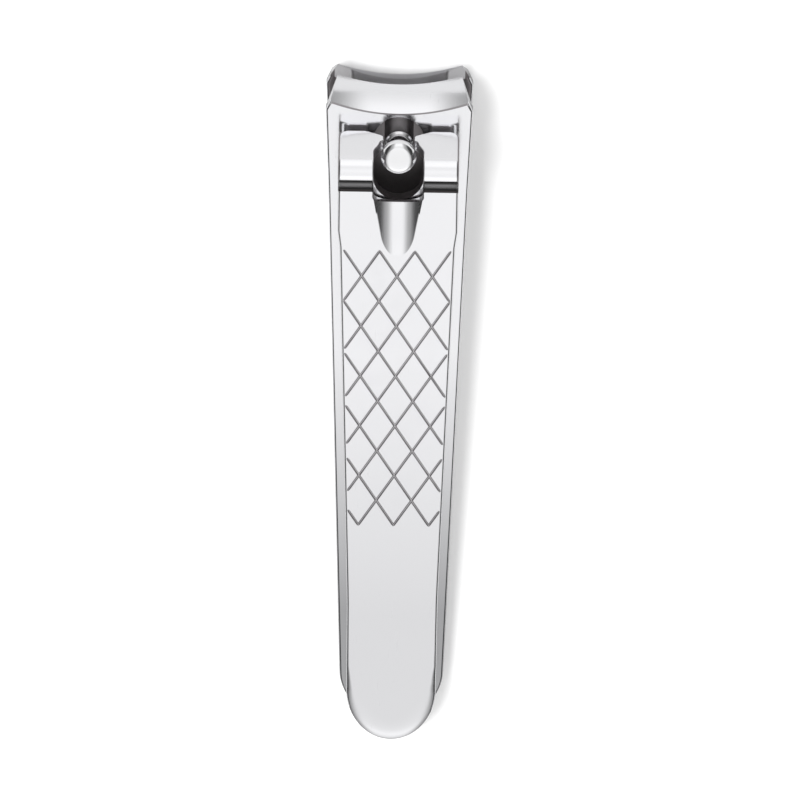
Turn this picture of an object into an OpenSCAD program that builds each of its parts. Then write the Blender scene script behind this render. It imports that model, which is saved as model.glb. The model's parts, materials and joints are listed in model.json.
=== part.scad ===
// Fingernail clipper of the compound-lever kind, in its stored pose: two sprung arms riveted
// together at the tail, a headed post through both, and a lever hooked round the post's neck.
// The lower arm's outer face lies on z = 0, X runs across, the jaws point along -Y.

/* [Arms] */
// Length of an arm from the middle of its cutting edge to its tail
arm_len = 59.4; // [56:0.1:64]
// Thickness of the arm strip
arm_t = 1.35; // [1.2:0.05:1.5]
// Width across the jaws
jaw_w = 12.6; // [12:0.1:13]
// Width just behind the post
shoulder_w = 12; // [11.5:0.1:12.2]
// Width at the start of the round tail
tail_w = 9; // [8.4:0.1:9.2]
// Distance from the arm's tail to the rivet, where the arms part
rivet_back = 2.6; // [2.4:0.1:3]

/* [Jaws] */
// Open gap between the two cutting edges
jaw_gap = 2.4; // [2.2:0.1:2.8]
// Height of the outer bevel
bevel_h = 2.5; // [2.3:0.1:2.6]
// Length of the outer bevel along the arm
bevel_run = 1.65; // [1.5:0.05:1.8]
// Radius of the curved cutting edge
edge_r = 20; // [19:1:26]
// Width of the flat land behind the cutting edge
land_w = 0.45; // [0.35:0.05:0.6]
// Width across the cutting edge
edge_w = 10.64; // [10.4:0.02:11]

/* [Post] */
// Distance from the bevel's crease to the post's axis
post_back = 2.48; // [2.4:0.02:2.6]
// Radius of the post's stem
stem_r = 1.25; // [1.2:0.01:1.26]
// Radius of the neck that the lever hooks round
neck_r = 1.0; // [0.9:0.05:1.1]
// Radius of the domed head
head_r = 1.52; // [1.45:0.01:1.52]
// Height of the neck's middle over the upper arm, where the lever flips
neck_h = 1.7; // [1.7:0.05:1.8]
// Underside of the head over the upper arm
head_h = 3.05; // [3.05:0.05:3.2]
// Radius of the flange under the lower arm
flange_r = 2.2; // [2:0.1:2.4]
// Half width of the long hole in the upper arm
upper_hole_r = 2.2; // [2.1:0.05:2.3]
// How far that hole runs back, so the post can rock as the jaws close
upper_hole_run = 3.4; // [2.4:0.1:3.6]
// Radial running clearance of the post and the rivet
fit = 0.05; // [0.03:0.01:0.08]

/* [Lever] */
// Length of the lever from the post's axis to its tail
lever_len = 56.7; // [54:0.1:58]
// Thickness of the lever sheet
lever_t = 1.1; // [1:0.05:1.1]
// Width of the lever at the post
lever_w = 10.32; // [10:0.02:10.6]
// Gap between the stored lever and the upper arm at the post
lever_gap = 0.25; // [0.2:0.05:0.3]
// Slope at which the lever rises off the arm towards its tail
lever_lift = 0.35; // [0.3:0.05:0.5]
// Width of the slot that clears the post's head
slot_w = 4.26; // [4.1:0.02:4.4]
// Width of the throat that grips the neck
throat_w = 2.6; // [2.6:0.02:2.7]
// Distance from the post's axis to the back of the slot
slot_back = 5.3; // [5.2:0.1:5.6]
// Depth of the thumb scoop behind the slot
scoop_depth = 0.6; // [0.4:0.1:0.7]

/* [Rivet] */
// Radius of the tail rivet's shank
rivet_r = 0.9; // [0.8:0.05:1]
// Radius of its flush heads
rivet_head_r = 1.6; // [1.5:0.05:1.7]
// Thickness of its flush heads
rivet_head_t = 0.4; // [0.35:0.05:0.45]

/* [Hidden] */
$fn = 64;
EPS = 0.01;

// Reach of the jaws in front of the rivet, and the height of their edges over the inner faces
reach = arm_len - rivet_back;
lip = bevel_h - arm_t;
crease_y = -(reach - bevel_run);
bevel_tilt = atan(bevel_run / bevel_h);
// Inner grind: from the land at the tip back to a full-thickness root
root_w = 1.45;
grind_tilt = atan((bevel_run * lip / bevel_h + root_w - land_w) / lip);
// How far the edge's corners stand in front of its middle
edge_sag = (edge_r - sqrt(edge_r * edge_r - edge_w * edge_w / 4)) / cos(bevel_tilt);
chamfer_len = 2.2;
// From the crease back to where the arm starts to narrow
shoulder_back = 7;
corner_y = -(reach + edge_sag);
tail_round = tail_w / 2;

// Angle between the arms, set by the gap between the edges
arm_angle = 2 * asin((jaw_gap / 2 + lip) / reach);

// The post stands square to the upper arm
post_y = crease_y + post_back;
flange_t = 0.5;
flange_lift = 0.05;
stem_top = 0.85;
// Cone between the stem and the neck, then the head's rim, its dome and its crown
neck_cone = 0.15;
head_rim = 0.25;
head_dome = 0.6;
head_crown = 0.95;
// Length that passes right through the clipper
through = 60;

// Lever sheet, measured from the post's foot: crest of the ears, legs and plate
crest = [0.82, 3.96];
crest_r = 0.8;
front_slope = 77;
front_low = 0.62;
rear_slope = 60;
bend_r = 1.3;
sheet_v = lever_gap + lever_t / 2;
bend_v = sheet_v + bend_r;
rear_len = (crest[1] + crest_r * cos(rear_slope) - bend_v + bend_r * cos(rear_slope)) / sin(rear_slope);
bend_d = crest[0] + crest_r * sin(rear_slope) + rear_len * cos(rear_slope) + bend_r * sin(rear_slope);
tail_end = 4.9;
// The lever steps in a little behind its ears, narrows to the end of the grip, then hardly at all
step_at = 8;
step_in = 0.15;
taper = 0.0306;
taper_end = 43;
tail_taper = 0.006;
ear_round = 0.7;
// The front leg's mouth leads up into the throat, then opens out past the post's head
mouth_w = 5.6;
mouth_low = 0.5;
mouth_back = 0.6;
throat_half = 0.3;
throat_ramp = 0.15;
head_play = 0.1;
head_room = 0.35;
slot_front = 0.5;
slot_round = 0.5;
scoop_r = 3.6;
scoop_len = 5.2;
scoop_over = 3;

// The row's origin is under the middle of the bounding box
lever_top = arm_t + lever_gap + lever_t + (lever_len - bend_d) * sin(lever_lift);
lever_back = (post_y + bend_d + (lever_len - bend_d) * cos(lever_lift)) * cos(arm_angle)
    + lever_top * sin(arm_angle);
rivet_y = -(corner_y + lever_back) / 2;

// Moves a shape drawn about the rivet line on the lower arm's inner face into place
module place_lower() translate([0, rivet_y, arm_t]) children();

// The same for the upper arm, whose front is raised by the angle between the arms
module place_upper() place_lower() rotate([-arm_angle, 0, 0]) children();

// Moves a shape drawn about the post's foot on the upper arm's outer face into place
module place_post() place_upper() translate([0, post_y, arm_t]) children();

// Side outline in (y, z) made into a solid of the given width across X
module across(width) rotate([90, 0, 90]) translate([0, 0, -width / 2]) linear_extrude(width) children();

// Plan outline of an arm
function arm_outline() = concat(
    [[-edge_w / 2, corner_y - 1], [-edge_w / 2, corner_y], [-jaw_w / 2, corner_y + chamfer_len],
     [-shoulder_w / 2, crease_y + shoulder_back]],
    [for (a = [180 : -7.5 : 0]) [tail_round * cos(a), rivet_back - tail_round + tail_round * sin(a)]],
    [[shoulder_w / 2, crease_y + shoulder_back], [jaw_w / 2, corner_y + chamfer_len], [edge_w / 2, corner_y],
     [edge_w / 2, corner_y - 1]]
);

// Solid in front of a jaw face that leans over the bevel by tilt, touching [y, z]
module jaw_drum(y, z, tilt, depth) translate([0, y, z]) rotate([tilt, 0, 0]) translate([0, -edge_r, 0])
    cylinder(r = edge_r + depth, h = through, center = true, $fn = 180);

// Arm with its inner face on z = 0, its outer face below and its jaw rising in front
module arm_blank(profile) difference() {
    intersection() {
        translate([0, 0, -5]) linear_extrude(10) polygon(arm_outline());
        union() {
            across(jaw_w + 2) polygon(profile);
            intersection() {
                translate([-jaw_w, corner_y - 2, -arm_t / 2]) cube([2 * jaw_w, 6, lip + arm_t / 2]);
                jaw_drum(-reach + land_w, lip, grind_tilt, 0);
            }
        }
    }
    jaw_drum(crease_y, -arm_t, bevel_tilt, 0);
}

module lower_arm() color([0.86, 0.86, 0.88]) difference() {
    place_lower() arm_blank([[corner_y - 2, -arm_t], [rivet_back + 1, -arm_t], [rivet_back + 1, 0],
                             [corner_y - 2, 0]]);
    place_post() cylinder(r = stem_r + fit, h = through, center = true);
    post_foot() flange(flange_r + 2 * fit, 4);
    rivet_cut(-1, fit / 2);
}

module upper_arm() color([0.9, 0.9, 0.92]) difference() {
    place_upper() mirror([0, 0, 1]) arm_blank([
        [corner_y - 2, -arm_t], [-arm_t * tan(arm_angle / 2), -arm_t],
        [(rivet_back + 1) * cos(arm_angle) - arm_t * sin(arm_angle),
         -(rivet_back + 1) * sin(arm_angle) - arm_t * cos(arm_angle)],
        [(rivet_back + 1) * cos(arm_angle), -(rivet_back + 1) * sin(arm_angle)],
        [0, 0], [corner_y - 2, 0]]);
    place_post() translate([0, 0, -arm_t - 1]) linear_extrude(arm_t + 2) upper_hole();
    rivet_cut(1, 2 * fit);
}

// Round-ended hole that starts round the post and runs back under the lever's slot
module upper_hole() union() {
    circle(r = upper_hole_r);
    translate([-upper_hole_r, 0]) square([2 * upper_hole_r, upper_hole_run]);
    translate([0, upper_hole_run]) circle(r = upper_hole_r);
}

// Hole and flush recess for the rivet in one arm: side is 1 for the upper arm, -1 for the lower
module rivet_cut(side, gap) place_lower() {
    cylinder(r = rivet_r + gap, h = 8, center = true);
    translate([0, 0, side * (arm_t - rivet_head_t - gap) + (side < 0 ? -3 : 0)])
        cylinder(r = rivet_head_r + gap, h = 3);
}

module tail_rivet() color([0.8, 0.8, 0.82]) place_lower() {
    cylinder(r = rivet_r, h = 2 * (arm_t - rivet_head_t) + EPS, center = true);
    for (side = [-1, 1]) translate([0, 0, side * (arm_t - rivet_head_t / 2 - EPS)])
        cylinder(r = rivet_head_r, h = rivet_head_t, center = true);
}

// Post's axis where the flange's lower face stays clear of the resting surface
module post_foot() place_post() translate([0, 0, -foot_depth]) children();

// Length of the post below its foot, measured down to the flange's lower face
foot_depth = (arm_t + rivet_rise(post_y)) / cos(arm_angle) - flange_lift - flange_r * tan(arm_angle);

// Height of the post's foot over the lower arm's inner face
function rivet_rise(y) = -y * sin(arm_angle) + arm_t * cos(arm_angle);

module flange(r, drop) translate([0, 0, -drop]) cylinder(r = r, h = flange_t + drop);

module post() color([0.93, 0.93, 0.95]) {
    place_post() rotate_extrude() polygon(concat(
        [[0, -foot_depth], [flange_r, -foot_depth], [flange_r, flange_t - foot_depth - fit],
         [stem_r, flange_t - foot_depth - fit], [stem_r, stem_top], [neck_r, stem_top + neck_cone],
         [neck_r, head_h], [head_r, head_h]],
        [for (a = [0 : 10 : 60]) [head_r - head_dome * (1 - cos(a)), head_h + head_rim + head_dome * sin(a)]],
        [[0, head_h + head_crown]]
    ));
}

// Points of the lever sheet's middle line with their headings, from the front foot to the tail
function sheet_path() = concat(
    [[front_foot[0], front_foot[1], front_slope]],
    [for (h = [front_slope : -(front_slope + rear_slope) / 12 : -rear_slope - EPS])
        [crest[0] - crest_r * sin(h), crest[1] + crest_r * cos(h), h]],
    [for (h = [-rear_slope : (rear_slope + lever_lift) / 6 : lever_lift + EPS])
        [bend_d + bend_r * sin(h), bend_v - bend_r * cos(h), h]],
    [[lever_len + 1, sheet_v + (lever_len + 1 - bend_d) * tan(lever_lift), lever_lift]]
);
front_drop = (crest[1] + crest_r * cos(front_slope) - front_low) / sin(front_slope);
front_foot = [crest[0] - crest_r * sin(front_slope) - front_drop * cos(front_slope), front_low];
function side_of(p, off) = [p[0] - off * sin(p[2]), p[1] + off * cos(p[2])];
function reversed(list) = [for (i = [len(list) - 1 : -1 : 0]) list[i]];
function sheet_outline() = concat(
    [for (p = sheet_path()) side_of(p, lever_t / 2)],
    reversed([for (p = sheet_path()) side_of(p, -lever_t / 2)])
);

// Half width of the lever at distance d behind the post
function lever_half(d) = d < step_at ? lever_w / 2
    : lever_w / 2 - step_in - taper * (min(d, taper_end) - step_at) - tail_taper * max(0, d - taper_end);
tail_start = lever_len - tail_end;
function lever_side() = concat(
    [for (d = [-3, step_at, step_at + 1, taper_end, tail_start]) [lever_half(d), d]],
    [for (a = [7.5 : 7.5 : 90]) [lever_half(tail_start) * cos(a), tail_start + tail_end * sin(a)]]
);
function lever_plan() = concat(lever_side(), [for (p = reversed(lever_side())) [-p[0], p[1]]]);

// Front view of the ears' lower corners, in (x, v)
module ear_front() difference() {
    translate([-lever_w, 0]) square([2 * lever_w, 8]);
    for (side = [-1, 1]) translate([side * (lever_w / 2 - ear_round), front_low + ear_round]) difference() {
        translate([side > 0 ? 0 : -2 * ear_round, -2 * ear_round]) square(2 * ear_round);
        circle(r = ear_round);
    }
}

// Mouth, throat and start of the slot as cut through the front leg, in (x, v)
function mouth_side() = [
    [mouth_w / 2, -1], [mouth_w / 2, mouth_low], [throat_w / 2, neck_h - throat_half],
    [throat_w / 2, neck_h + throat_half], [head_r + head_play, neck_h + throat_half + throat_ramp],
    [slot_w / 2, head_h + head_room], [slot_w / 2, 8]
];
module mouth() polygon(concat(mouth_side(), [for (p = reversed(mouth_side())) [-p[0], p[1]]]));

// Slot behind the front leg, closed by the plate's square end with small round corners
module slot_plan() union() {
    translate([-slot_w / 2, slot_front]) square([slot_w, slot_back - slot_round - slot_front]);
    translate([slot_round - slot_w / 2, slot_front])
        square([slot_w - 2 * slot_round, slot_back - slot_front]);
    for (side = [-1, 1]) translate([side * (slot_w / 2 - slot_round), slot_back - slot_round])
        circle(r = slot_round);
}

module lever() color([0.92, 0.92, 0.94]) place_post() difference() {
    intersection() {
        across(lever_w + 2) polygon(sheet_outline());
        linear_extrude(12) polygon(lever_plan());
        union() {
            translate([0, mouth_back, 0]) rotate([90, 0, 0]) linear_extrude(4) ear_front();
            translate([-lever_w, mouth_back - EPS, 0]) cube([2 * lever_w, lever_len + 2, 12]);
        }
    }
    translate([0, mouth_back, 0]) rotate([90, 0, 0]) linear_extrude(4) mouth();
    translate([0, 0, -1]) linear_extrude(12) slot_plan();
    translate([0, slot_back, lever_gap + lever_t - scoop_depth + scoop_r])
        rotate([-90 + atan(scoop_depth / scoop_len), 0, 0]) translate([0, 0, -scoop_over])
        cylinder(r = scoop_r, h = scoop_len + 2 * scoop_over, $fn = 96);
}

lower_arm();
upper_arm();
tail_rivet();
post();
lever();
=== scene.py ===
# Fingernail clipper in its stored pose: the visible meshes, their plated-metal materials, and a
# plain pale studio. Shapes are built in millimetres about the CAD's own axes and placed in metres.
import json
from math import asin, atan, atan2, cos, degrees, pi, radians, sin, sqrt, tan

import bmesh
import bpy
from mathutils import Matrix, Vector


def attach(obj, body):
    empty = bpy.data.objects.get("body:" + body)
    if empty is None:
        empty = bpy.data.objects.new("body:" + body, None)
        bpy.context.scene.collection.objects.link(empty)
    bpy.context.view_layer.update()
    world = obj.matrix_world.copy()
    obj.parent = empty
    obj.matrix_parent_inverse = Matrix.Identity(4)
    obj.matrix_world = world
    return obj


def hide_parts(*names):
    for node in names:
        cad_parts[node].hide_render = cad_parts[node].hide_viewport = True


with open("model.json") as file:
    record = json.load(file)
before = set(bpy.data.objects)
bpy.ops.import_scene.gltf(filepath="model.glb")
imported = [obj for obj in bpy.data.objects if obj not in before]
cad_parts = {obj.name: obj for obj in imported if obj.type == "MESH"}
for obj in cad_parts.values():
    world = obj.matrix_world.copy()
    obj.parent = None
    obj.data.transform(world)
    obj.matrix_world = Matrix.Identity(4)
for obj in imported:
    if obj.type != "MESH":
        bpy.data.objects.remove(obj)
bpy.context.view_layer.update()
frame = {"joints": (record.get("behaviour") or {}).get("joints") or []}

MM = 0.001

# ---------------------------------------------------------------- sizes, in millimetres

ARM_T = 1.35
REACH = 56.8
RIVET_BACK = 2.6
JAW_W, SHOULDER_W, TAIL_W, EDGE_W = 12.6, 12.0, 9.0, 10.64
BEVEL_H, BEVEL_RUN, EDGE_R = 2.5, 1.65, 20.0
LAND_W, ROOT_W, CHAMFER_LEN = 0.45, 1.45, 2.2
LIP = BEVEL_H - ARM_T
CREASE_Y = BEVEL_RUN - REACH
BEVEL_TILT = atan(BEVEL_RUN / BEVEL_H)
GRIND_TILT = atan((BEVEL_RUN * LIP / BEVEL_H + ROOT_W - LAND_W) / LIP)
BEVEL_LEN, BEVEL_BULGE = sqrt(BEVEL_RUN ** 2 + BEVEL_H ** 2), 0.085
CREASE_LINE, CREASE_DEPTH = 0.11, 0.03
SHOULDER_BACK = 7.0
EDGE_SAG = (EDGE_R - sqrt(EDGE_R ** 2 - EDGE_W ** 2 / 4)) / cos(BEVEL_TILT)
CORNER_INSET = 0.003
CORNER_Y = CORNER_INSET - REACH - EDGE_SAG

POST_Y = CREASE_Y + 2.48
STEM_R, NECK_R, HEAD_R = 1.25, 1.0, 1.52
NECK_H, HEAD_H, STEM_TOP = 1.7, 3.05, 0.85
FLANGE_R, FLANGE_T, FLANGE_LIFT = 2.2, 0.45, 0.05
UPPER_HOLE_R, UPPER_HOLE_RUN, FIT = 2.2, 3.4, 0.05
RIVET_R, RIVET_HEAD_R, RIVET_HEAD_T = 0.9, 1.6, 0.4

LEVER_LEN, LEVER_T, LEVER_GAP = 56.7, 1.1, 0.25
LEVER_HALF, LEVER_LIFT = 5.16, radians(0.35)
STEP_AT, STEP_IN, STEP_LEN = 8, 0.15, 1.5
TAPER, TAPER_END, TAIL_IN, TAIL_TAPER, TAIL_END = 0.0306, 43, 1.22, 0.006, 4.9
CREST, CREST_R = (0.82, 3.957), 0.8
FRONT_SLOPE, REAR_SLOPE = radians(77), radians(60)
FRONT_LOW, BEND_R = 0.62, 1.3
SLOT_HALF, THROAT_HALF, MOUTH_HALF = 2.13, 1.3, 2.75
THROAT_BELOW, THROAT_OVER, HEAD_ROOM, HEAD_RAMP, SLOT_RAMP = 0.25, 0.3, 0.12, 0.2, 1.4
SLOT_BACK, SLOT_SAG, SLOT_RIM, EAR_ROUND = 5.45, 0.7, 0.12, 0.9
TAIL_ROLL_W, TAIL_ROLL_H, TAIL_ROLL_LEN = 2.0, 0.42, 8.0
SCOOP_R, SCOOP_HALF, SCOOP_END_HALF, SCOOP_TAPER, SCOOP_END = 3.6, 2.02, 1.5, 8.4, 10.25

GRIP_START, GRIP_STEP, GRIP_ROWS, GRIP_PITCH = 9.82, 2.37, 11, 3.04
GROOVE_W, GROOVE_DEPTH, GRIP_MARGIN = 0.235, 0.11, 0.27

RIM_ROUND, EDGE_ROUND = 0.24, 0.07
FLAT_DOT, FLAT_SHARE = 0.99999, 0.35
DRUM_STEPS = 288

# ---------------------------------------------------------------- places, from the frame

JOINTS = {joint["name"]: joint for joint in frame["joints"]}
RIVET = Vector(JOINTS["jaw_close"]["pos_m"])
POST_FOOT = Vector(JOINTS["lever_swing"]["pos_m"])
POST_AXIS = Vector(JOINTS["lever_swing"]["axis"])
ARM_ANGLE = atan2(POST_AXIS.y, POST_AXIS.z)
TO_LOWER = Matrix.Translation(RIVET) @ Matrix.Scale(MM, 4)
TO_UPPER = Matrix.Translation(RIVET) @ Matrix.Rotation(-ARM_ANGLE, 4, "X") @ Matrix.Scale(MM, 4)
TO_POST = Matrix.Translation(POST_FOOT) @ Matrix.Rotation(-ARM_ANGLE, 4, "X") @ Matrix.Scale(MM, 4)

# ---------------------------------------------------------------- mesh tools


def new_object(name, data):
    obj = bpy.data.objects.new(name, data)
    bpy.context.scene.collection.objects.link(obj)
    return obj


def object_from(name, bm):
    bmesh.ops.recalc_face_normals(bm, faces=bm.faces)
    data = bpy.data.meshes.new(name)
    bm.to_mesh(data)
    bm.free()
    return new_object(name, data)


def prism(name, outline, axis, low, high):
    """Closed prism on a 2-D outline: axis z takes (x, y), axis x takes (y, z), axis y takes (x, z)."""
    place = {
        "z": lambda a, b, h: (a, b, h),
        "x": lambda a, b, h: (h, a, b),
        "y": lambda a, b, h: (a, h, b),
    }[axis]
    bm = bmesh.new()
    rings = [[bm.verts.new(place(a, b, h)) for a, b in outline] for h in (low, high)]
    bm.faces.new(rings[0])
    bm.faces.new(rings[1])
    for i in range(len(outline)):
        j = (i + 1) % len(outline)
        bm.faces.new((rings[0][i], rings[0][j], rings[1][j], rings[1][i]))
    return object_from(name, bm)


def loft(name, sections):
    """Closed solid through equal rings of points."""
    bm = bmesh.new()
    rings = [[bm.verts.new(point) for point in section] for section in sections]
    bm.faces.new(rings[0])
    bm.faces.new(rings[-1])
    for a, b in zip(rings, rings[1:]):
        for i in range(len(a)):
            j = (i + 1) % len(a)
            bm.faces.new((a[i], a[j], b[j], b[i]))
    return object_from(name, bm)


def turned(name, profile, steps):
    """Solid of revolution about z from (radius, height) points, both ends on the axis."""
    bm = bmesh.new()
    ends = [bm.verts.new((0, 0, profile[k][1])) for k in (0, -1)]
    rings = [
        [bm.verts.new((r * cos(2 * pi * i / steps), r * sin(2 * pi * i / steps), z)) for i in range(steps)]
        for r, z in profile[1:-1]
    ]
    for i in range(steps):
        j = (i + 1) % steps
        bm.faces.new((ends[0], rings[0][i], rings[0][j]))
        bm.faces.new((ends[1], rings[-1][i], rings[-1][j]))
        for a, b in zip(rings, rings[1:]):
            bm.faces.new((a[i], a[j], b[j], b[i]))
    return object_from(name, bm)


def mark(obj, level_of, name="recess"):
    """Stores a level from 0 to 1 on each face: how much painted shade it gets, or how much grinding shows."""
    layer = obj.data.attributes.get(name) or obj.data.attributes.new(name, "FLOAT", "FACE")
    for polygon in obj.data.polygons:
        level = level_of(polygon.center, polygon.normal)
        layer.data[polygon.index].value = max(layer.data[polygon.index].value, level)


def bake_modifiers(obj):
    graph = bpy.context.evaluated_depsgraph_get()
    old = obj.data
    obj.data = bpy.data.meshes.new_from_object(obj.evaluated_get(graph))
    obj.modifiers.clear()
    bpy.data.meshes.remove(old)


def combine(obj, tool, operation):
    cut = obj.modifiers.new("combine", "BOOLEAN")
    cut.operation = operation
    cut.solver = "MANIFOLD"
    cut.object = tool
    bake_modifiers(obj)
    bpy.data.objects.remove(tool)


def drum(y, z, tilt, radius):
    """Long cylinder that touches (y, z) and leans with the jaw's bevel."""
    bm = bmesh.new()
    round_r = radius / cos(pi / DRUM_STEPS)
    bmesh.ops.create_cone(
        bm, segments=DRUM_STEPS, radius1=round_r, radius2=round_r, depth=50, cap_ends=True
    )
    lean = Matrix.Rotation(tilt, 4, "X") @ Matrix.Translation((0, -radius, 0))
    bm.transform(Matrix.Translation((0, y, z)) @ lean)
    return object_from("drum", bm)


def crowned_drum():
    """The bevel's grinding drum, slightly waisted so that the ground face comes out crowned."""
    reach, rings = 24.0, 8
    profile = [(0, -reach), (EDGE_R, -reach)]
    for i in range(rings + 1):
        t = i / rings
        profile.append((EDGE_R - 4 * BEVEL_BULGE * t * (1 - t), BEVEL_LEN * t))
    profile += [(EDGE_R, reach), (0, reach)]
    stretch = 1 / cos(pi / DRUM_STEPS)
    tool = turned("crowned_drum", [(r * stretch, z) for r, z in profile], DRUM_STEPS)
    lean = Matrix.Rotation(BEVEL_TILT, 4, "X") @ Matrix.Translation((0, -EDGE_R, 0))
    tool.data.transform(Matrix.Translation((0, CREASE_Y, -ARM_T)) @ lean)
    return tool


def rod(radius, low, high, place=Matrix.Identity(4), steps=96):
    bm = bmesh.new()
    bmesh.ops.create_cone(
        bm, segments=steps, radius1=radius, radius2=radius, depth=high - low, cap_ends=True,
        matrix=place @ Matrix.Translation((0, 0, (low + high) / 2)),
    )
    return object_from("rod", bm)


def round_edges(obj, width, share_of, segments=4):
    """Rounds the edges to which share_of(middle, turn) gives a share of the width."""
    bm = bmesh.new()
    bm.from_mesh(obj.data)
    bmesh.ops.remove_doubles(bm, verts=bm.verts, dist=1e-3)
    bmesh.ops.dissolve_limit(bm, angle_limit=radians(0.05), verts=bm.verts, edges=bm.edges)
    layer = bm.edges.layers.float.new("bevel_weight_edge")
    for edge in bm.edges:
        if len(edge.link_faces) == 2:
            middle = (edge.verts[0].co + edge.verts[1].co) / 2
            edge[layer] = share_of(middle, degrees(edge.calc_face_angle(0)))
    bm.to_mesh(obj.data)
    bm.free()
    rounder = obj.modifiers.new("round", "BEVEL")
    rounder.limit_method = "WEIGHT"
    rounder.width = width
    rounder.segments = segments
    rounder.use_clamp_overlap = False
    rounder.miter_outer = "MITER_ARC"
    bake_modifiers(obj)


def fan_normal(faces):
    """Normal of a smooth fan: that of its widest flat part, or the mean where none stands out."""
    flats = []
    for face in faces:
        area = face.calc_area()
        for flat in flats:
            if flat[0].dot(face.normal) > FLAT_DOT:
                flat[1] += area
                break
        else:
            flats.append([face.normal.copy(), area])
    flats.sort(key=lambda flat: -flat[1])
    if len(flats) == 1 or flats[1][1] < FLAT_SHARE * flats[0][1]:
        return flats[0][0]
    total = Vector((0, 0, 0))
    for normal, area in flats:
        total += normal * area
    return total.normalized()


def shade(obj, smooth):
    """Smooth shading that keeps flat faces flat: a smooth fan takes the normal of its widest face."""
    bm = bmesh.new()
    bm.from_mesh(obj.data)
    bm.normal_update()
    start = [polygon.loop_start for polygon in obj.data.polygons]
    corners = [None] * len(obj.data.loops)
    place = {loop: start[face.index] + k for face in bm.faces for k, loop in enumerate(face.loops)}
    limit = radians(smooth)
    for vert in bm.verts:
        waiting = set(vert.link_faces)
        while waiting:
            fan = [waiting.pop()]
            for face in fan:
                for edge in face.edges:
                    if vert not in edge.verts or len(edge.link_faces) != 2:
                        continue
                    for other in edge.link_faces:
                        if other in waiting and edge.calc_face_angle(pi) <= limit:
                            waiting.remove(other)
                            fan.append(other)
            normal = fan_normal(fan)
            for face in fan:
                for loop in face.loops:
                    if loop.vert is vert:
                        corners[place[loop]] = normal
    bm.free()
    for polygon in obj.data.polygons:
        polygon.use_smooth = True
    obj.data.set_sharp_from_angle(angle=limit)
    obj.data.normals_split_custom_set(corners)


def finish_piece(obj, body, nodes, material, place, smooth=35):
    tidy = bmesh.new()
    tidy.from_mesh(obj.data)
    bmesh.ops.remove_doubles(tidy, verts=tidy.verts, dist=1e-4)
    tidy.to_mesh(obj.data)
    tidy.free()
    shade(obj, smooth)
    obj.data.transform(place)
    obj.data.materials.clear()
    obj.data.materials.append(material)
    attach(obj, body)
    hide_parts(*nodes)


def arc(cx, cy, radius, start, end, steps, stretch=1.0):
    """Points of an arc in degrees, its second coordinate stretched."""
    angles = [radians(start + (end - start) * i / steps) for i in range(steps + 1)]
    return [(cx + radius * cos(a), cy + stretch * radius * sin(a)) for a in angles]


def mirrored(points):
    return [(-x, y) for x, y in reversed(points)]


# ---------------------------------------------------------------- materials

# Stretch of the handle, in metres along Y, over which the plating is painted darker towards the tail: painted
# shade
TAIL_SHADE_FROM, TAIL_SHADE_TO = -0.006, 0.019
# Painted shade levels, which also add roughness: ground jaw wall, slot wall, grip groove, crease line, faces
# hidden under the plate and at the ears' feet, the ears' sides, inner faces, the inner bend behind the ears,
# and the ears' backs; the bend and backs are painted nearly black
GRIND, SLOT_WALL, GROOVE, CREASE, HIDDEN, EAR_RIM, INNER, BEND, BACK = (
    0.22, 0.6, 0.58, 0.8, 0.85, 0.86, 0.9, 0.98, 1.0
)
# Painted shade: faces darken towards a dark grey with their level, and from this level up towards near black
BLACK_FROM = 0.88
PAINTED_SHADE_GREY, BLACK = (0.2, 0.18, 0.185, 1.0), (0.012, 0.011, 0.011, 1.0)


class Nodes:
    """Short way to add linked shader nodes."""

    def __init__(self, material):
        self.tree = material.node_tree

    def add(self, kind, values=None, **settings):
        node = self.tree.nodes.new(kind)
        for key, value in settings.items():
            setattr(node, key, value)
        for key, value in (values or {}).items():
            self.put(value, node.inputs[key])
        return node

    def put(self, value, socket):
        if isinstance(value, bpy.types.NodeSocket):
            self.tree.links.new(value, socket)
        else:
            socket.default_value = value

    def math(self, operation, a, b=0.0):
        return self.add("ShaderNodeMath", {0: a, 1: b}, operation=operation).outputs[0]

    def noise(self, vector, scale, detail=4.0, roughness=0.55):
        values = {"Vector": vector, "Scale": scale, "Detail": detail, "Roughness": roughness}
        return self.add("ShaderNodeTexNoise", values).outputs["Fac"]

    def stretch(self, vector, scale, turn=0.0):
        values = {"Vector": vector, "Scale": scale, "Rotation": (0, 0, turn)}
        return self.add("ShaderNodeMapping", values).outputs["Vector"]

    def blend(self, factor, first, second):
        node = self.add("ShaderNodeMix", data_type="RGBA")
        for value, socket in ((factor, 0), (first, 6), (second, 7)):
            self.put(value, node.inputs[socket])
        return node.outputs[2]

    def span(self, value, low, high, to_low, to_high):
        values = {"Value": value, "From Min": low, "From Max": high, "To Min": to_low, "To Max": to_high}
        return self.add("ShaderNodeMapRange", values).outputs["Result"]


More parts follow.
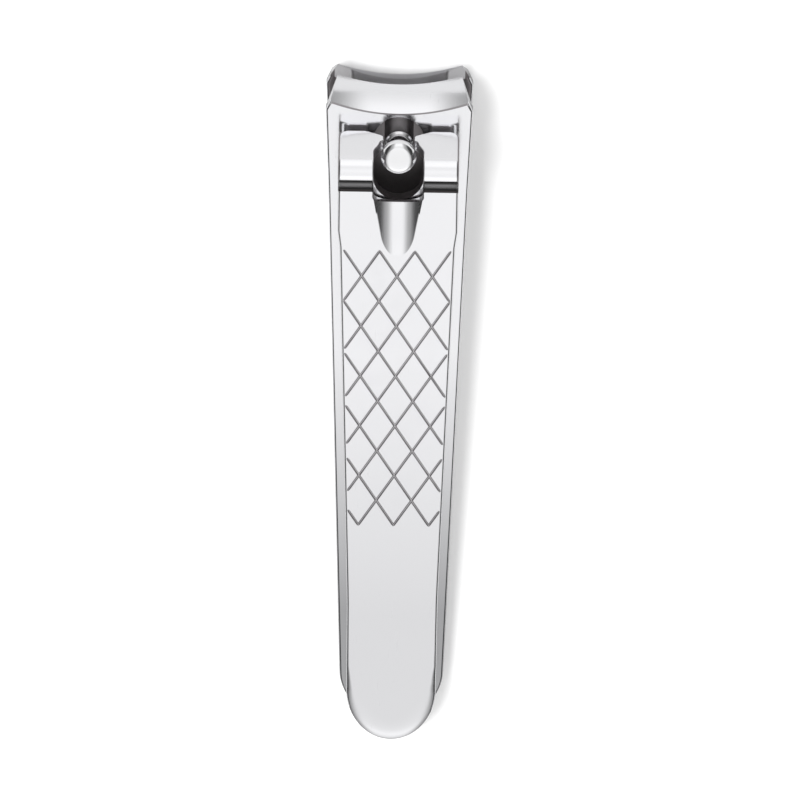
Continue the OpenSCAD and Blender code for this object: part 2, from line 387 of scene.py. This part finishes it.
def plated_metal(name, tint, worn_tint, rough, brush, brush_height, scratch_turns, tail_shade_level):
    """Polished plate with cloudy haze, fine polishing lines, hairline scratches and worn edges, plus painted
    shade towards the tail and painted shade on faces by their stored level.
    """
    material = bpy.data.materials.new(name)
    material.use_nodes = True
    n = Nodes(material)
    shader = n.tree.nodes["Principled BSDF"]
    place = n.add("ShaderNodeTexCoord").outputs["Object"]
    haze = n.noise(place, 170.0, 5.0)
    smudge = n.noise(place, 620.0, 3.0)
    lines = n.noise(n.stretch(place, brush), 1.0, 3.0, 0.6)
    hairs = None
    for turn in scratch_turns:
        streaks = n.noise(n.stretch(place, (9000.0, 240.0, 900.0), turn), 1.0, 2.0, 0.4)
        hair = n.span(streaks, 0.73, 0.78, 0.0, 1.0)
        hairs = hair if hairs is None else n.math("MAXIMUM", hairs, hair)
    edge = n.add("ShaderNodeNewGeometry").outputs["Pointiness"]
    wear = n.math("MULTIPLY", n.span(edge, 0.53, 0.62, 0.0, 1.0), n.span(smudge, 0.42, 0.62, 0.3, 1.0))
    shade = n.math("ADD", n.math("MULTIPLY", haze, 0.5), n.math("MULTIPLY", wear, 0.6))
    plate = n.blend(shade, (*tint, 1.0), (*worn_tint, 1.0))
    along = n.add("ShaderNodeSeparateXYZ", {0: place}).outputs["Y"]
    # Painted shade: the plating darkens along Y towards the tail, down to the given share of its tint
    tail_shade = n.span(along, TAIL_SHADE_FROM, TAIL_SHADE_TO, 0.0, 1.0)
    plate = n.blend(tail_shade, plate, (*[channel * tail_shade_level for channel in tint], 1.0))
    # Painted shade: faces darken towards a dark grey by their stored level, the darkest towards near black;
    # the level also adds roughness
    recess = n.add("ShaderNodeAttribute", attribute_name="recess").outputs["Fac"]
    shaded_plate = n.blend(recess, plate, PAINTED_SHADE_GREY)
    deep = n.span(recess, BLACK_FROM, 1.0, 0.0, 1.0)
    n.put(n.blend(deep, shaded_plate, BLACK), shader.inputs["Base Color"])
    shader.inputs["Metallic"].default_value = 1.0
    cloudy = n.span(haze, 0.3, 0.7, rough * 0.8, rough * 1.25)
    worn = n.math("ADD", cloudy, n.math("MULTIPLY", wear, 0.05))
    ground = n.add("ShaderNodeAttribute", attribute_name="ground").outputs["Fac"]
    dull = n.math("ADD", n.math("MULTIPLY", recess, 0.25), n.math("MULTIPLY", ground, 0.4))
    scratched = n.math("MULTIPLY", hairs, 0.12)
    n.put(n.math("ADD", n.math("ADD", worn, dull), scratched), shader.inputs["Roughness"])
    relief = n.math("SUBTRACT", n.math("MULTIPLY", lines, 0.5), n.math("MULTIPLY", hairs, 0.5))
    values = {"Height": relief, "Strength": 1.0, "Distance": brush_height}
    n.put(n.add("ShaderNodeBump", values).outputs["Normal"], shader.inputs["Normal"])
    return material


def floor_material():
    material = bpy.data.materials.new("pale_board")
    material.use_nodes = True
    n = Nodes(material)
    shader = n.tree.nodes["Principled BSDF"]
    grain = n.noise(n.add("ShaderNodeTexCoord").outputs["Object"], 900.0, 3.0)
    mirrored_in_metal = n.add("ShaderNodeLightPath").outputs["Is Glossy Ray"]
    board = n.blend(mirrored_in_metal, (0.9, 0.9, 0.9, 1.0), (*[FLOOR_IN_METAL] * 3, 1.0))
    n.put(board, shader.inputs["Base Color"])
    shader.inputs["Specular IOR Level"].default_value = 0.0
    n.put(n.span(grain, 0.3, 0.7, 0.85, 0.95), shader.inputs["Roughness"])
    return material


ARM_METAL = plated_metal(
    "plated_arm", (0.93, 0.93, 0.95), (0.86, 0.86, 0.88), 0.11, (4200.0, 120.0, 4200.0), 0.000002,
    (0.05, -0.5), 0.42
)
LEVER_METAL = plated_metal(
    "plated_lever", (0.94, 0.94, 0.96), (0.87, 0.87, 0.89), 0.17, (5200.0, 110.0, 5200.0), 0.0000025,
    (0.12, -0.3, 0.9), 0.8
)
POST_METAL = plated_metal(
    "polished_post", (0.94, 0.94, 0.95), (0.88, 0.88, 0.9), 0.08, (300.0, 300.0, 5200.0), 0.0000015,
    (0.4,), 1.0
)
RIVET_METAL = plated_metal(
    "rivet_steel", (0.72, 0.72, 0.74), (0.62, 0.62, 0.64), 0.22, (3000.0, 3000.0, 400.0), 0.000003,
    (0.2, 1.1), 1.0
)

# ---------------------------------------------------------------- arms


def arm_outline():
    side = [(-EDGE_W / 2, CORNER_Y - 1), (-EDGE_W / 2, CORNER_Y), (-JAW_W / 2, CORNER_Y + CHAMFER_LEN)]
    side.append((-SHOULDER_W / 2, CREASE_Y + SHOULDER_BACK))
    tail_r = TAIL_W / 2
    return side + arc(0, RIVET_BACK - tail_r, tail_r, 180, 0, 40) + mirrored(side)


def rim(middle, turn):
    """The strip's square edges, which tumbling has rounded."""
    return 1.0 if turn > 60 else 0.0


def crisp(middle, turn):
    """Sharp edges round the jaws and the holes; those of the fine crease line stay sharp."""
    if turn < 28 or (middle.y > CREASE_Y + 0.5 and abs(middle.x) > UPPER_HOLE_R + 1):
        return 0.0
    on_crease = middle.z < 0.1 - ARM_T and abs(middle.y - crease_at(middle.x)) < 3 * CREASE_LINE
    return 0.0 if on_crease else 1.0


def crease_at(x):
    """Where the bevel's surface meets the outer face, at x across the arm."""
    return CREASE_Y - (EDGE_R - sqrt(EDGE_R ** 2 - x ** 2)) / cos(BEVEL_TILT)


def crease_tool():
    """Thin strip along the crease that sinks it into a fine line."""
    across = [JAW_W * (i / 24 - 0.5) * 1.1 for i in range(25)]
    front = [(x, crease_at(x) - 0.4) for x in across]
    back = [(x, crease_at(x) + CREASE_LINE) for x in reversed(across)]
    return prism("crease_line", front + back, "z", -6, CREASE_DEPTH - ARM_T)


def arm_blank(name, profile):
    """Arm with its inner face on z = 0 and its outer face below, as the CAD has it."""
    arm = prism(name, arm_outline(), "z", -6, 6)
    combine(arm, prism("body", profile, "x", -JAW_W, JAW_W), "INTERSECT")
    round_edges(arm, RIM_ROUND, rim)
    low, high = CORNER_Y - 2, CORNER_Y + 4
    wall = prism("wall", [(low, -0.6), (high, -0.6), (high, LIP), (low, LIP)], "x", -JAW_W, JAW_W)
    combine(wall, drum(-REACH + LAND_W, LIP, GRIND_TILT, EDGE_R), "INTERSECT")
    combine(wall, prism("wall_plan", arm_outline(), "z", -6, 6), "INTERSECT")
    combine(arm, wall, "UNION")
    combine(arm, crowned_drum(), "DIFFERENCE")
    combine(arm, crease_tool(), "DIFFERENCE")
    return arm


def build_lower_arm():
    profile = [(CORNER_Y - 2, -ARM_T), (RIVET_BACK + 1, -ARM_T), (RIVET_BACK + 1, 0), (CORNER_Y - 2, 0)]
    arm = arm_blank("arm_lower", profile)
    to_post = TO_LOWER.inverted() @ TO_POST
    foot = -foot_depth()
    combine(arm, rod(STEM_R + FIT, -20, 20, to_post), "DIFFERENCE")
    combine(arm, rod(FLANGE_R + 2 * FIT, foot - 4, foot + FLANGE_T + FIT, to_post), "DIFFERENCE")
    combine(arm, rod(RIVET_R + FIT / 2, -4, 4), "DIFFERENCE")
    combine(arm, rod(RIVET_HEAD_R + FIT / 2, -4, RIVET_HEAD_T + FIT / 2 - ARM_T), "DIFFERENCE")
    round_edges(arm, EDGE_ROUND, crisp, 3)
    # Painted shade on the jaw grinds, the inner faces and the crease line
    mark(arm, inner_faces)
    mark(arm, ground_faces, "ground")
    finish_piece(arm, "lower_body", ["lower_arm"], ARM_METAL, TO_LOWER)


def inner_faces(spot, normal):
    """Painted shade levels, which also add roughness: a little on the jaw grinds, dark on the inner faces
    between the arms, and dark on the line along the crease.
    """
    if spot.z > LIP - 0.05:
        return 0.0
    if spot.z > 0.05 and (normal.z > 0.1 or normal.y > 0.2):
        return GRIND
    if spot.z > -0.02 and normal.z > 0.1:
        return INNER
    sunk = CREASE_DEPTH / 2 < spot.z + ARM_T < 2 * CREASE_DEPTH and spot.y < CREASE_Y + 0.5
    return CREASE if sunk and normal.z < -0.9 else 0.0


def ground_faces(spot, normal):
    """The lands and inner grinds of the jaws keep the grinding wheel's satin."""
    if spot.z > LIP - 0.05:
        return 1.0
    return 0.5 if spot.z > 0.05 and normal.y > 0.1 else 0.0


def in_hole(spot):
    """True on the walls of the upper arm's long hole."""
    back = min(max(spot.y - POST_Y, 0), UPPER_HOLE_RUN)
    away = sqrt(spot.x ** 2 + (spot.y - POST_Y - back) ** 2)
    return abs(away - UPPER_HOLE_R) < 0.06


def long_hole(radius, run, low, high):
    """Round-ended slot tool that reaches back from the post's axis by run."""
    outline = arc(0, POST_Y, radius, 180, 360, 48) + arc(0, POST_Y + run, radius, 0, 180, 48)
    return prism("long_hole", outline, "z", low, high)


def build_upper_arm():
    tab = RIVET_BACK + 1
    c, s = cos(ARM_ANGLE), sin(ARM_ANGLE)
    profile = [
        (CORNER_Y - 2, -ARM_T), (-ARM_T * tan(ARM_ANGLE / 2), -ARM_T),
        (tab * c - ARM_T * s, -tab * s - ARM_T * c), (tab * c, -tab * s), (0, 0), (CORNER_Y - 2, 0),
    ]
    arm = arm_blank("arm_upper", profile)
    combine(arm, long_hole(UPPER_HOLE_R, UPPER_HOLE_RUN, -4, 4), "DIFFERENCE")
    flip = Matrix.Diagonal((1, 1, -1, 1))
    to_lower = flip @ TO_UPPER.inverted() @ TO_LOWER
    combine(arm, rod(RIVET_R + 2 * FIT, -6, 6, to_lower), "DIFFERENCE")
    head_floor = ARM_T - RIVET_HEAD_T - 2 * FIT
    combine(arm, rod(RIVET_HEAD_R + 2 * FIT, head_floor, 6, to_lower), "DIFFERENCE")
    round_edges(arm, EDGE_ROUND, crisp, 3)
    # Painted shade on the jaw grinds, the inner faces, the crease line and the long hole's walls
    mark(arm, inner_faces)
    mark(arm, ground_faces, "ground")
    mark(arm, lambda spot, normal: INNER * in_hole(spot))
    arm.data.transform(flip)
    arm.data.flip_normals()
    finish_piece(arm, "upper_body", ["upper_arm"], ARM_METAL, TO_UPPER)


# ---------------------------------------------------------------- post and rivet


def foot_depth():
    """Length of the post below its foot, down to the flange's lower face."""
    rise = -POST_Y * sin(ARM_ANGLE) + ARM_T * cos(ARM_ANGLE)
    return (ARM_T + rise) / cos(ARM_ANGLE) - FLANGE_LIFT - FLANGE_R * tan(ARM_ANGLE)


def corner(r, z, size, start, steps=5):
    """Rounded corner of a turned profile, centred at (r, z), a quarter turn from start degrees."""
    return arc(r, z, size, start, start + 90, steps)


def build_post():
    foot = -foot_depth()
    top = foot + FLANGE_T
    profile = [(0, foot)]
    profile += corner(FLANGE_R - 0.12, foot + 0.12, 0.12, -90)
    profile += corner(FLANGE_R - 0.08, top - 0.08, 0.08, 0)
    profile += [(STEM_R, top), (STEM_R, STEM_TOP - 0.06), (STEM_R - 0.06, STEM_TOP)]
    profile += [(NECK_R + 0.1, STEM_TOP + 0.05), (NECK_R, STEM_TOP + 0.15)]
    profile += [(NECK_R, HEAD_H - 0.1), (NECK_R + 0.1, HEAD_H)]
    profile += arc(HEAD_R - 0.1, HEAD_H + 0.1, 0.1, -90, 0, 5)
    dome_r = 0.62
    profile += arc(HEAD_R - dome_r, HEAD_H + 0.28, dome_r, 0, 68, 14)
    crown_r, crown_z = profile[-1]
    profile += [(crown_r * cos(a), crown_z + 0.1 * sin(a)) for a in (radians(20 * i) for i in range(1, 4))]
    profile += [(0, crown_z + 0.1)]
    post = turned("post_headed", profile, 128)
    # Painted shade: the stem down between the arms is painted dark, the neck lightly, the head not at all
    mark(post, lambda spot, normal: 0.9 if spot.z < -0.4 else 0.2 if spot.z < HEAD_H else 0.0)
    finish_piece(post, "post_body", ["post"], POST_METAL, TO_POST, 50)


def build_rivet():
    face = ARM_T - 0.02
    head = [(RIVET_R, face - RIVET_HEAD_T), (RIVET_HEAD_R, face - RIVET_HEAD_T)]
    crown = corner(RIVET_HEAD_R - 0.1, face - 0.1, 0.1, 0)
    dimple = [(0.75, face), (0.6, face - 0.06), (0.3, face - 0.09), (0, face - 0.1)]
    upper = head + crown + dimple
    lower = [(r, -z) for r, z in reversed(upper)]
    rivet = turned("rivet_flush", lower + upper, 96)
    finish_piece(rivet, "lower_body", ["tail_rivet"], RIVET_METAL, TO_LOWER, 50)


# ---------------------------------------------------------------- lever

SHEET_V = LEVER_GAP + LEVER_T / 2
BEND_V = SHEET_V + BEND_R
FRONT_LEN = (CREST[1] + CREST_R * cos(FRONT_SLOPE) - FRONT_LOW) / sin(FRONT_SLOPE)
FRONT_D = CREST[0] - CREST_R * sin(FRONT_SLOPE) - FRONT_LEN * cos(FRONT_SLOPE)
REAR_LEN = (CREST[1] + CREST_R * cos(REAR_SLOPE) - BEND_V + BEND_R * cos(REAR_SLOPE)) / sin(REAR_SLOPE)
BEND_D = CREST[0] + (CREST_R + BEND_R) * sin(REAR_SLOPE) + REAR_LEN * cos(REAR_SLOPE)
CREST_LEN = CREST_R * (FRONT_SLOPE + REAR_SLOPE)
BEND_LEN = BEND_R * (REAR_SLOPE + LEVER_LIFT)
CREST_S = FRONT_LEN
REAR_S = CREST_S + CREST_LEN
BEND_S = REAR_S + REAR_LEN
PLATE_S = BEND_S + BEND_LEN
PLATE_D = BEND_D + BEND_R * sin(LEVER_LIFT)
SHEET_LEN = PLATE_S + (LEVER_LEN - PLATE_D) / cos(LEVER_LIFT)


def sheet_point(s):
    """Middle of the bent sheet at developed length s: distance behind the post, height, heading."""
    if s <= CREST_S:
        return FRONT_D + s * cos(FRONT_SLOPE), FRONT_LOW + s * sin(FRONT_SLOPE), FRONT_SLOPE
    if s <= REAR_S:
        h = FRONT_SLOPE - (s - CREST_S) / CREST_R
        return CREST[0] - CREST_R * sin(h), CREST[1] + CREST_R * cos(h), h
    if s <= BEND_S:
        along = s - REAR_S
        start_d = CREST[0] + CREST_R * sin(REAR_SLOPE)
        start_v = CREST[1] + CREST_R * cos(REAR_SLOPE)
        return start_d + along * cos(REAR_SLOPE), start_v - along * sin(REAR_SLOPE), -REAR_SLOPE
    if s <= PLATE_S:
        h = -REAR_SLOPE + (s - BEND_S) / BEND_R
        return BEND_D + BEND_R * sin(h), BEND_V - BEND_R * cos(h), h
    along = s - PLATE_S
    start_v = BEND_V - BEND_R * cos(LEVER_LIFT)
    return PLATE_D + along * cos(LEVER_LIFT), start_v + along * sin(LEVER_LIFT), LEVER_LIFT


def lever_half(d):
    """Half width of the lever at distance d behind the post, before its round tail."""
    if d < STEP_AT:
        return LEVER_HALF
    if d < TAPER_END:
        return LEVER_HALF - STEP_IN * min(1, (d - STEP_AT) / STEP_LEN) - TAPER * (d - STEP_AT)
    return LEVER_HALF - TAIL_IN - TAIL_TAPER * (d - TAPER_END)


def ease(a, b, share):
    """Value between a and b with a smooth start and end."""
    return a + (b - a) * (0.5 - 0.5 * cos(pi * min(1, max(0, share))))


def slot_half(s):
    """Half width of the opening along the developed sheet: mouth, throat, then slot."""
    throat = (NECK_H - FRONT_LOW) / sin(FRONT_SLOPE)
    past = s - throat - THROAT_OVER
    if s < throat - THROAT_BELOW:
        return ease(MOUTH_HALF, THROAT_HALF, s / (throat - THROAT_BELOW))
    if past < 0:
        return THROAT_HALF
    if past < HEAD_RAMP:
        return ease(THROAT_HALF, HEAD_R + HEAD_ROOM, past / HEAD_RAMP)
    return ease(HEAD_R + HEAD_ROOM, SLOT_HALF, (past - HEAD_RAMP) / SLOT_RAMP)


def lever_outside():
    """Developed outline of the sheet in (x, s), round at the tail and at the ears' lower corners."""
    tail_s = SHEET_LEN - TAIL_END
    shift = PLATE_S - PLATE_D
    outer = arc(-LEVER_HALF + EAR_ROUND, EAR_ROUND, EAR_ROUND, 270, 180, 8)
    stations = [8.0, 8.5, 9.0, 9.5] + [12 + 1.5 * i for i in range(27)]
    outer += [(-lever_half(d), d + shift) for d in stations if d + shift < tail_s - 0.3]
    tail_half = lever_half(LEVER_LEN - TAIL_END)
    tail = arc(0, tail_s, tail_half, 180, 0, 64, TAIL_END / tail_half)
    return outer + tail + mirrored(outer)


def inset(points, widths):
    """Closed outline moved inward by a width at each point."""
    moved = []
    for i, (x, y) in enumerate(points):
        before, after = Vector(points[i - 1]), Vector(points[(i + 1) % len(points)])
        here = Vector((x, y))
        first, second = (here - before).normalized(), (after - here).normalized()
        normals = [Vector((edge.y, -edge.x)) for edge in (first, second)]
        middle = (normals[0] + normals[1]).normalized()
        moved.append(here + middle * widths[i] / max(0.6, middle.dot(normals[0])))
    return moved


def lever_blank():
    """Flat sheet whose rims are rounded; the roll widens over the top of the tail."""
    outline = lever_outside()
    wide = [ease(0, 1, (y - SHEET_LEN + TAIL_ROLL_LEN) / TAIL_ROLL_LEN) for x, y in outline]
    roll_w = [RIM_ROUND + (TAIL_ROLL_W - RIM_ROUND) * share for share in wide]
    roll_h = [RIM_ROUND + (TAIL_ROLL_H - RIM_ROUND) * share for share in wide]
    steps, top = 7, LEVER_T / 2
    turns = [pi / 2 * k / steps for k in range(steps + 1)]
    sections = []
    for turn in reversed(turns):
        ring = inset(outline, [RIM_ROUND * (1 - cos(turn))] * len(outline))
        sections.append([(p.x, p.y, -top + RIM_ROUND * (1 - sin(turn))) for p in ring])
    for turn in turns:
        ring = inset(outline, [w * (1 - cos(turn)) for w in roll_w])
        sections.append([(p.x, p.y, top - h * (1 - sin(turn))) for p, h in zip(ring, roll_h)])
    return loft("lever_sheet", sections)


def opening_outline():
    """Developed outline of the mouth, throat and slot in (x, s), open past the sheet's front."""
    slot_end = PLATE_S + SLOT_BACK - PLATE_D
    steps = 30
    side = [(-MOUTH_HALF, -1.0)] + [(-slot_half(4.0 * i / steps), 4.0 * i / steps) for i in range(steps + 1)]
    corner_s = slot_end - SLOT_SAG
    back = [(-SLOT_HALF * cos(pi * i / 24), corner_s + SLOT_SAG * sin(pi * i / 24) ** 0.8) for i in range(25)]
    return side + back + mirrored(side)


def bend_sheet(obj):
    """Cuts the flat sheet across where it bends and wraps it round its side profile."""
    bm = bmesh.new()
    bm.from_mesh(obj.data)
    crest_steps, bend_steps = 48, 24
    stations = [CREST_S + CREST_LEN * i / crest_steps for i in range(crest_steps + 1)]
    stations += [BEND_S + BEND_LEN * i / bend_steps for i in range(bend_steps + 1)]
    for s in stations:
        everything = bm.verts[:] + bm.edges[:] + bm.faces[:]
        bmesh.ops.bisect_plane(bm, geom=everything, dist=1e-6, plane_co=(0, s, 0), plane_no=(0, 1, 0))
    for vert in bm.verts:
        d, v, h = sheet_point(vert.co.y)
        w = vert.co.z
        vert.co = Vector((vert.co.x, d - w * sin(h), v + w * cos(h)))
    bm.to_mesh(obj.data)
    bm.free()


def plate_matrix():
    """Frame on the plate's top face: x across, y along it, z out of it, origin under the post's axis."""
    top = BEND_V - BEND_R * cos(LEVER_LIFT) + LEVER_T / 2 * cos(LEVER_LIFT)
    start_d = PLATE_D - LEVER_T / 2 * sin(LEVER_LIFT)
    lift = top - start_d * tan(LEVER_LIFT)
    return Matrix.Translation((0, 0, lift)) @ Matrix.Rotation(LEVER_LIFT, 4, "X")


def scoop_tool():
    """Trough whose width tapers to a round end; each section is an arc of the same radius."""
    count, arc_steps, lid = 34, 24, 1.0
    start = SLOT_BACK - 1.2
    sections = []
    for i in range(count + 1):
        d = start + (SCOOP_END - start) * sin(pi / 2 * i / count)
        taper = SCOOP_HALF + (SCOOP_END_HALF - SCOOP_HALF) * (d - SLOT_BACK) / (SCOOP_TAPER - SLOT_BACK)
        if d > SCOOP_TAPER:
            rest = (d - SCOOP_TAPER) / (SCOOP_END - SCOOP_TAPER)
            taper *= max(1e-4, 1 - rest ** 2) ** 0.37
        half = max(0.02, taper)
        drop = sqrt(SCOOP_R ** 2 - half ** 2)
        spread = [asin(half / SCOOP_R) * (2 * k / arc_steps - 1) for k in range(arc_steps + 1)]
        ring = [(SCOOP_R * sin(a), d, drop - SCOOP_R * cos(a)) for a in spread]
        sections.append(ring + [(half, d, lid), (-half, d, lid)])
    return loft("scoop", sections)


def groove_lines():
    """Ends (x, d) of the crossing grooves, clipped inside the lever's edges."""
    end = GRIP_START + GRIP_ROWS * GRIP_STEP
    slope = GRIP_PITCH / 2 / GRIP_STEP
    lines = []
    for k in range(-7, 8):
        for way in (-1, 1):
            start_x = (k + 0.5) * GRIP_PITCH
            inside = []
            steps = 520
            for i in range(steps + 1):
                d = GRIP_START + (end - GRIP_START) * i / steps
                x = start_x + way * slope * (d - GRIP_START)
                if abs(x) <= lever_half(d) - GRIP_MARGIN:
                    inside.append((x, d))
            if len(inside) > steps // 40:
                lines.append((inside[0], inside[-1]))
    return lines


def groove_tool(start, end, place):
    """Round-bottomed groove with tapered ends between two points on the plate."""
    a, b = Vector(start), Vector(end)
    along = (b - a).normalized()
    side = Vector((-along.y, along.x))
    length = (b - a).length
    sections = []
    for t, share in ((-0.08, 0.15), (0.05, 0.75), (0.16, 1.0), (length - 0.16, 1.0), (length - 0.05, 0.75),
                     (length + 0.08, 0.15)):
        centre = a + along * t
        ring = []
        for k in range(7):
            u = k / 3 - 1
            offset = side * (u * GROOVE_W / 2 * (0.4 + 0.6 * share))
            depth = -GROOVE_DEPTH * share * (1 - u * u) ** 0.8
            ring.append((centre.x + offset.x, centre.y + offset.y, depth))
        for u in (1, -1):
            offset = side * (u * GROOVE_W / 2 * (0.4 + 0.6 * share))
            ring.append((centre.x + offset.x, centre.y + offset.y, 0.4))
        sections.append(ring)
    tool = loft("groove", sections)
    tool.data.transform(place)
    return tool


def build_lever():
    lever = lever_blank()
    combine(lever, prism("opening", opening_outline(), "z", -LEVER_T, LEVER_T), "DIFFERENCE")
    round_edges(lever, SLOT_RIM, lambda middle, turn: 1.0 if turn > 50 else 0.0, 3)
    bend_sheet(lever)
    place = plate_matrix()
    trough = scoop_tool()
    trough.data.transform(place)
    combine(lever, trough, "DIFFERENCE")
    for start, end in groove_lines():
        combine(lever, groove_tool(start, end, place), "DIFFERENCE")
    flat = place.inverted()

    # Painted shade level of each lever face: grip grooves, the ears' backs and inner bend (nearly black),
    # faces under the plate and at the ears' feet, the ears' sides and the slot walls
    def level(spot, normal):
        on_plate = flat @ spot
        in_grip = GRIP_START - 0.3 < on_plate.y < GRIP_START + GRIP_ROWS * GRIP_STEP + 0.3
        in_scoop = on_plate.y < SCOOP_END and abs(on_plate.x) < SCOOP_END_HALF - 0.25
        inside = abs(on_plate.x) < lever_half(on_plate.y) - RIM_ROUND and not in_scoop
        if in_grip and inside and -GROOVE_DEPTH - 0.05 < on_plate.z < -0.004:
            return GROOVE
        if normal.y > 0.42 and CREST[0] < spot.y < PLATE_D and spot.z > SHEET_V:
            return BACK
        if normal.y > 0.07 and CREST[0] + 1.6 < spot.y < PLATE_D and spot.z > SHEET_V:
            return BEND
        if spot.y > PLATE_D and normal.z < -0.5 or spot.z < FRONT_LOW + 0.08 and spot.y < CREST[0]:
            return HIDDEN
        if spot.y < PLATE_D and abs(spot.x) > LEVER_HALF - RIM_ROUND and abs(normal.x) > 0.35:
            return EAR_RIM
        in_opening = abs(spot.x) < MOUTH_HALF and spot.y < SLOT_BACK + 0.1
        return SLOT_WALL if in_opening and abs(normal.x) > 0.5 else 0.0

    mark(lever, level)
    finish_piece(lever, "lever_body", ["lever"], LEVER_METAL, TO_POST, 30)


# ---------------------------------------------------------------- studio

# Tent brightness against pitch: 0 and 1 straight down, 0.25 the front horizon, 0.5 overhead, 0.75 behind
TENT_STOPS = (
    (0.2, 0.62), (0.25, 0.78), (0.3, 0.97), (0.37, 1.0), (0.43, 0.84), (0.5, 0.92), (0.585, 0.87),
    (0.615, 0.92), (0.65, 1.15), (0.7, 0.95), (0.75, 0.4),
)
# Brightness against how far sideways a direction points
SIDE_STOPS = ((0.2, 1.0), (0.5, 0.4), (0.72, 0.06), (0.9, 0.03), (0.95, 0.05), (1.0, 0.5))
TENT_LEVEL, FILL_LEVEL, KEY_LEVEL, FLOOR_IN_METAL = 1.08, 1.12, 1.9, 0.5


def build_floor():
    size = 3.0
    bm = bmesh.new()
    bmesh.ops.create_grid(bm, x_segments=1, y_segments=1, size=size)
    floor = object_from("studio_floor", bm)
    floor.location.z = -0.00001
    floor.data.materials.append(floor_material())


def ramp(n, value, stops):
    """Piecewise-smooth curve of (position, level) stops over 0..1."""
    node = n.add("ShaderNodeValToRGB", {"Fac": value})
    bar = node.color_ramp
    bar.interpolation = "EASE"
    while len(bar.elements) < len(stops):
        bar.elements.new(0.5)
    for element, (position, level) in zip(bar.elements, stops):
        element.position = position
        element.color = (level, level, level, 1.0)
    return node.outputs["Color"]


def build_world():
    """White tent, dark at both sides and low behind, so edges read as dark lines in the metal."""
    world = bpy.data.worlds.new("studio")
    bpy.context.scene.world = world
    world.use_nodes = True
    n = Nodes(world)
    background = n.tree.nodes["Background"]
    direction = n.add("ShaderNodeTexCoord").outputs["Generated"]
    parts = n.add("ShaderNodeSeparateXYZ", {0: direction})
    x, y, z = (parts.outputs[k] for k in range(3))
    pitch = n.math("ARCTAN2", y, z)
    around = n.span(pitch, -pi, pi, 0.0, 1.0)
    tent = ramp(n, around, TENT_STOPS)
    side = ramp(n, n.math("ABSOLUTE", x), SIDE_STOPS)
    glow = n.math("MULTIPLY", tent, side)
    rays = n.add("ShaderNodeLightPath")
    level = n.add("ShaderNodeMix", data_type="FLOAT")
    n.put(rays.outputs["Is Glossy Ray"], level.inputs[0])
    level.inputs[2].default_value = FILL_LEVEL
    n.put(n.math("MULTIPLY", glow, TENT_LEVEL), level.inputs[3])
    background.inputs["Color"].default_value = (1.0, 1.0, 1.0, 1.0)
    n.put(level.outputs[0], background.inputs["Strength"])


def build_lights():
    """A broad soft key from the clipper's +X side, which drops the shadow on the other side."""
    key = bpy.data.lights.new("key", "SUN")
    key.energy = KEY_LEVEL
    key.angle = radians(20)
    lamp = new_object("key", key)
    lamp.visible_glossy = False
    towards = Vector((0.33, -0.2, 0.92))
    lamp.rotation_euler = towards.to_track_quat("Z", "Y").to_euler()


def build_camera():
    """Long lens, jaws at the top of the picture, at the photographed elevation."""
    elevation, roll, distance = radians(69.14), radians(0.84), 1.5
    pixels_per_mm, frame_px, sensor = 11.6, 800, 36.0
    to_camera = Vector((0, -cos(elevation), sin(elevation)))
    right = Vector((-1, 0, 0))
    up = to_camera.cross(right)
    turn = Matrix.Rotation(roll, 3, to_camera)
    right, up = turn @ right, turn @ up
    aim = Vector((0, 0, 0.005))
    shift = Vector((5.0, 12.3)) / pixels_per_mm * MM
    target = aim + right * shift.x + up * shift.y
    data = bpy.data.cameras.new("camera")
    data.sensor_width = sensor
    data.lens = pixels_per_mm * distance / MM * sensor / frame_px
    data.clip_end = 20
    camera = new_object("camera", data)
    axes = Matrix((right, up, to_camera)).transposed()
    camera.matrix_world = Matrix.Translation(target + to_camera * distance) @ axes.to_4x4()
    bpy.context.scene.camera = camera


build_camera()
build_lower_arm()
build_upper_arm()
build_post()
build_rivet()
build_lever()
build_floor()
build_world()
build_lights()
bpy.context.scene.view_settings.view_transform = "Standard"
